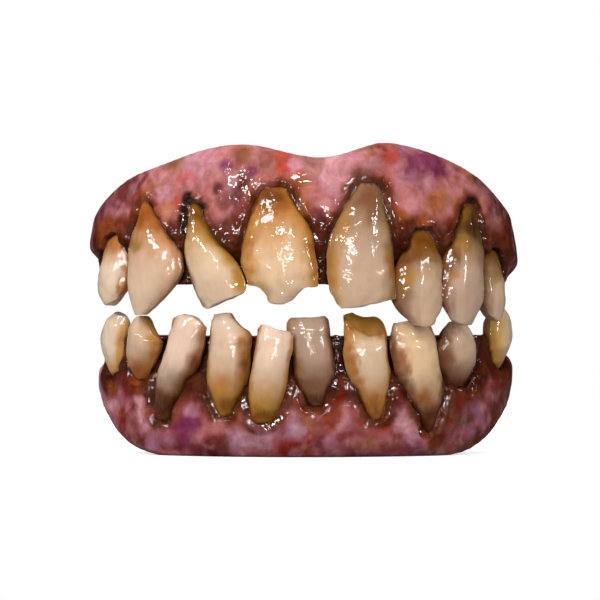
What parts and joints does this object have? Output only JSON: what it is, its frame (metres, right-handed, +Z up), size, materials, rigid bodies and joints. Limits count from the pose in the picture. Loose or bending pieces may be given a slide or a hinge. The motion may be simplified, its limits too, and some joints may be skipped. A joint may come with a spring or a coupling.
{
  "type": "zombie costume teeth",
  "caption": "Costume denture set: hollow upper and lower gum plates that clip over the wearer's teeth, with crooked, chipped, stained teeth set in torn sockets.",
  "frame": {"origin": "centre of the set's footprint, on the surface that the lower plate stands on", "axes": "+X to the right as seen from the front, the teeth face -Y, +Z up from the lower plate to the upper plate"},
  "size_m": [0.0566, 0.0284, 0.0397],
  "materials": {
    "gum": "wet gloss lacquer over mottled pink and purple acrylic",
    "ivory": "gloss acrylic, stained brown at the neck",
    "amber": "gloss acrylic, stained amber",
    "grey": "gloss acrylic, dead grey"
  },
  "bodies": {
    "lower": {"lower_gum": "gum", "lower_left_second_premolar": "ivory", "lower_left_first_premolar": "ivory", "lower_left_canine": "ivory", "lower_left_lateral_incisor": "ivory", "lower_left_central_incisor": "ivory", "lower_right_central_incisor": "grey", "lower_right_lateral_incisor": "amber", "lower_right_canine": "ivory", "lower_right_first_premolar": "grey", "lower_right_second_premolar": "amber"},
    "upper": {"upper_gum": "gum", "upper_left_premolar": "ivory", "upper_left_canine": "ivory", "upper_left_lateral_incisor": "ivory", "upper_left_central_incisor": "amber", "upper_right_central_incisor": "grey", "upper_right_lateral_incisor": "ivory", "upper_right_canine": "ivory", "upper_right_premolar": "ivory"}
  },
  "joints": [
    {"name": "upper_lift", "type": "slide", "parent": "lower", "child": "upper", "axis": [0, 0, 1], "range_m": [0, 0.04]}
  ]
}
